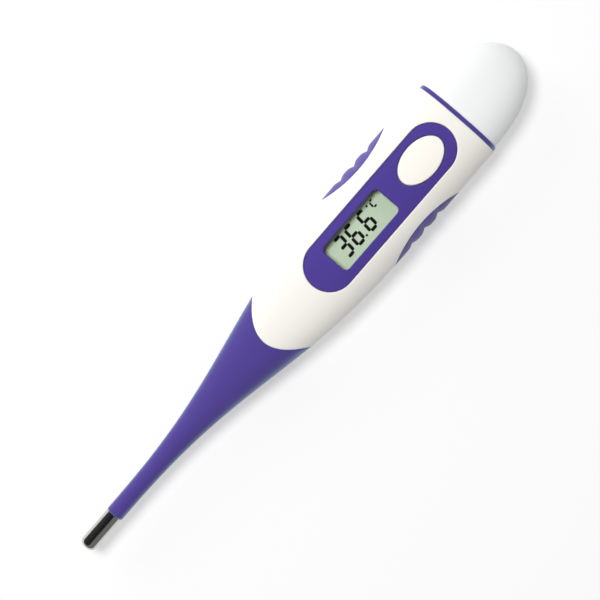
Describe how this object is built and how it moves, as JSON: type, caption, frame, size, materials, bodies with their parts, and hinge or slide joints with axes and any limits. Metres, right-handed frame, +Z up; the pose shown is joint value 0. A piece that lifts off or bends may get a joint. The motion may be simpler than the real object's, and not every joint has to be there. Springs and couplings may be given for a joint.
{
  "type": "digital clinical thermometer",
  "caption": "Digital clinical thermometer with a steel tip, a bending rubber stem, an oval hand-piece with a display window and push button, and a pull-off battery cap.",
  "frame": {"origin": "middle of the length and width, on the surface that the flat back lies on", "axes": "+X along the thermometer from the steel tip to the battery cap, +Z up out of the display, +Y to the side that the digits point up to"},
  "size_m": [0.13, 0.0196, 0.012],
  "materials": {
    "white_abs": "satin",
    "cap_white": "satin",
    "button_cream": "satin",
    "purple_rubber": "matt",
    "purple_plastic": "fine texture",
    "clear_plastic": "polished",
    "steel": "polished",
    "thermistor": "glazed",
    "potting": "cured resin",
    "lead_copper": "enamelled",
    "board_green": "solder mask",
    "carrier_grey": "moulded",
    "holder_black": "moulded",
    "lcd_glass": "polished",
    "reflector": "satin film",
    "zebra_rubber": "matt",
    "chip_resin": "resin",
    "ceramic_white": "silvered",
    "brass": "rolled",
    "spring_steel": "plated",
    "cell_steel": "plated"
  },
  "bodies": {
    "hand_piece": {"housing": "white_abs", "display_panel": "purple_plastic", "window_lens": "clear_plastic", "left_grip": "purple_rubber", "right_grip": "purple_rubber", "seal_ring": "purple_rubber", "stem_base": "purple_rubber", "stem_leads": "lead_copper", "board_leads": "lead_copper"},
    "probe": {"stem_tip": "purple_rubber", "probe_cap": "steel", "thermistor_bead": "thermistor", "thermal_potting": "potting"},
    "push_button": {"button": "button_cream"},
    "electronics": {"carrier": "carrier_grey", "circuit_board": "board_green", "lcd_holder": "holder_black", "lcd_front_glass": "lcd_glass", "lcd_rear_glass": "lcd_glass", "lcd_reflector": "reflector", "zebra_strip": "zebra_rubber", "tact_switch": "holder_black", "switch_dome": "spring_steel", "chip_blob": "chip_resin", "chip_parts": "chip_resin", "buzzer_disc": "brass", "buzzer_ceramic": "ceramic_white", "buzzer_wires": "lead_copper", "front_screw": "spring_steel", "rear_screw": "spring_steel", "battery": "cell_steel", "negative_contact": "spring_steel", "positive_contact": "spring_steel"},
    "cap": {"battery_cap": "cap_white"},
    "link_1": {"stem_link_1": "purple_rubber"},
    "link_2": {"stem_link_2": "purple_rubber"},
    "link_3": {"stem_link_3": "purple_rubber"},
    "link_4": {"stem_link_4": "purple_rubber"},
    "link_5": {"stem_link_5": "purple_rubber"},
    "link_6": {"stem_link_6": "purple_rubber"},
    "link_7": {"stem_link_7": "purple_rubber"}
  },
  "joints": [
    {"name": "bend_up_1", "type": "hinge", "parent": "hand_piece", "child": "link_7", "pos_m": [-0.0276, 0, 0.00594], "axis": [0, 1, 0], "range_deg": [-15, 15], "stiffness_Nm_per_rad": 0.05, "deforming": ["stem_leads"]},
    {"name": "bend_side_1", "type": "hinge", "parent": "link_7", "child": "link_6", "pos_m": [-0.031, 0, 0.00594], "axis": [0, 0, 1], "range_deg": [-15, 15], "stiffness_Nm_per_rad": 0.05},
    {"name": "bend_up_2", "type": "hinge", "parent": "link_6", "child": "link_5", "pos_m": [-0.0344, 0, 0.00594], "axis": [0, 1, 0], "range_deg": [-15, 15], "stiffness_Nm_per_rad": 0.05},
    {"name": "bend_side_2", "type": "hinge", "parent": "link_5", "child": "link_4", "pos_m": [-0.0378, 0, 0.00594], "axis": [0, 0, 1], "range_deg": [-15, 15], "stiffness_Nm_per_rad": 0.05},
    {"name": "bend_up_3", "type": "hinge", "parent": "link_4", "child": "link_3", "pos_m": [-0.0412, 0, 0.00594], "axis": [0, 1, 0], "range_deg": [-15, 15], "stiffness_Nm_per_rad": 0.05},
    {"name": "bend_side_3", "type": "hinge", "parent": "link_3", "child": "link_2", "pos_m": [-0.0446, 0, 0.00594], "axis": [0, 0, 1], "range_deg": [-15, 15], "stiffness_Nm_per_rad": 0.05},
    {"name": "bend_up_4", "type": "hinge", "parent": "link_2", "child": "link_1", "pos_m": [-0.048, 0, 0.00594], "axis": [0, 1, 0], "range_deg": [-15, 15], "stiffness_Nm_per_rad": 0.05},
    {"name": "bend_side_4", "type": "hinge", "parent": "link_1", "child": "probe", "pos_m": [-0.0514, 0, 0.00594], "axis": [0, 0, 1], "range_deg": [-15, 15], "stiffness_Nm_per_rad": 0.05},
    {"name": "button_press", "type": "slide", "parent": "hand_piece", "child": "push_button", "axis": [0, 0, -1], "range_m": [0, 0.00035], "stiffness_N_per_m": 2000, "deforming": ["switch_dome"]},
    {"name": "carrier_slide", "type": "slide", "parent": "hand_piece", "child": "electronics", "axis": [1, 0, 0], "range_m": [0, 0.01], "deforming": ["board_leads"]},
    {"name": "cap_slide", "type": "slide", "parent": "electronics", "child": "cap", "axis": [1, 0, 0], "range_m": [0, 0.025]}
  ]
}
